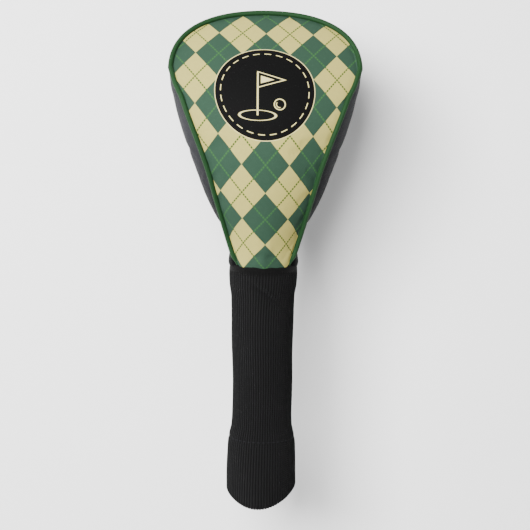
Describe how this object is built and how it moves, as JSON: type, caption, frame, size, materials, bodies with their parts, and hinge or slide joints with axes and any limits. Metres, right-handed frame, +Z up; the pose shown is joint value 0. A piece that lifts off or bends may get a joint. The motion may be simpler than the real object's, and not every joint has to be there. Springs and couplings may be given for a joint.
{
  "type": "driver head cover",
  "caption": "Padded, lined driver head cover with a printed argyle front panel, piped seam and a long ribbed knit sock.",
  "frame": {"origin": "centre of the neck elastic, on the axis of the club's shaft", "axes": "+Z up the shaft axis from the neck to the top of the head, -Y towards the front with the printed crown panel, X across the width"},
  "size_m": [0.1304, 0.0971, 0.3367],
  "materials": {
    "printed_cloth": "coated, fine weave, printed argyle",
    "green_piping": "satin cloth",
    "cord": "matt",
    "leatherette": "smooth, slight sheen",
    "foam": "matt foam",
    "plush": "soft pile",
    "knit": "ribbed knit",
    "elastic": "woven elastic",
    "thread": "sewing thread"
  },
  "bodies": {
    "head": {"crown_panel": "printed_cloth", "crown_padding": "foam", "crown_lining": "plush", "left_side_panel": "leatherette", "right_side_panel": "leatherette", "left_side_padding": "foam", "right_side_padding": "foam", "left_side_lining": "plush", "right_side_lining": "plush", "back_panel": "leatherette", "back_padding": "foam", "back_lining": "plush", "piping_cover": "green_piping", "piping_cord": "cord", "back_seam_thread": "thread", "neck_elastic": "elastic", "knit_collar": "knit", "knit_upper_bend": "knit"},
    "sock_top": {"knit_ring": "knit", "knit_lower_bend": "knit"},
    "sock": {"knit_middle": "knit", "knit_stretch": "knit"},
    "cuff": {"knit_cuff": "knit", "cuff_elastic": "elastic", "cuff_thread": "thread"}
  },
  "joints": [
    {"name": "sock_side_bend", "type": "hinge", "parent": "head", "child": "sock_top", "pos_m": [0, 0, -0.018], "axis": [0, 1, 0], "range_deg": [-35, 35], "stiffness_Nm_per_rad": 0.02, "deforming": ["knit_upper_bend"]},
    {"name": "sock_front_bend", "type": "hinge", "parent": "sock_top", "child": "sock", "pos_m": [0, 0, -0.05], "axis": [1, 0, 0], "range_deg": [-35, 35], "stiffness_Nm_per_rad": 0.02, "deforming": ["knit_lower_bend"]},
    {"name": "cuff_stretch", "type": "slide", "parent": "sock", "child": "cuff", "axis": [0, 0, 1], "range_m": [-0.03, 0.012], "stiffness_N_per_m": 250, "deforming": ["knit_stretch"]}
  ]
}
